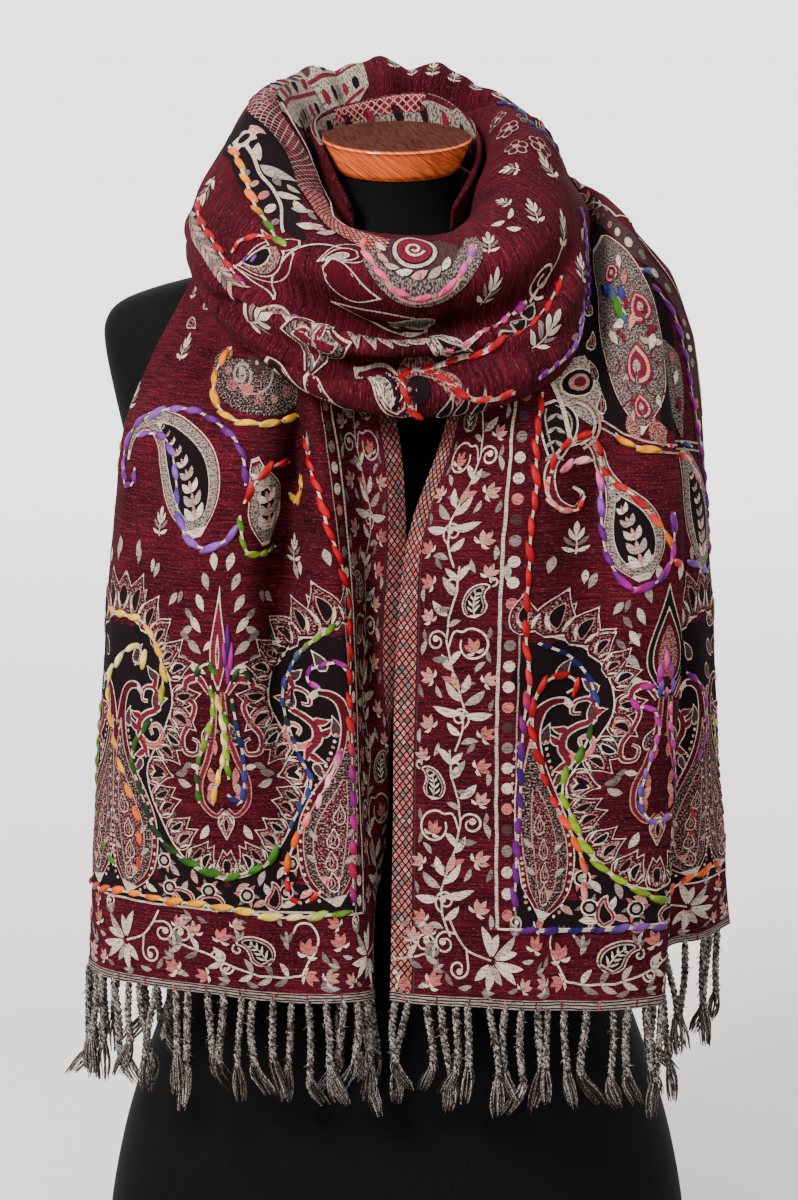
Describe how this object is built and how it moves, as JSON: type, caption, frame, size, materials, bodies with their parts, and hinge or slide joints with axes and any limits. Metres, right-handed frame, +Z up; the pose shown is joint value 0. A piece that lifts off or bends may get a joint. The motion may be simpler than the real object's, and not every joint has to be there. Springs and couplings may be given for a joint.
{
  "type": "embroidered shawl on dress form",
  "caption": "Fringed wool shawl with woven borders and thick running stitches, wound once round the neck of a limbless dress form with a wooden neck cap.",
  "frame": {"origin": "centre of the dress form's flat base", "axes": "+Z up the form; -Y is the front, where both fringed ends hang; +X is the end on the right as seen from the front"},
  "size_m": [0.4059, 0.3014, 0.7838],
  "materials": {
    "wool": "matte, heathered",
    "fringe": "matte marl yarn",
    "jersey": "matte",
    "cap": "varnished"
  },
  "bodies": {
    "root": {"shawl_left_end": "wool", "shawl_right_end": "wool", "shawl_front_loop": "wool", "shawl_back_outer": "wool", "shawl_back_inner": "wool", "fringe_left": "fringe", "fringe_right": "fringe", "form_torso": "jersey", "form_neck_cap": "cap"}
  },
  "joints": []
}
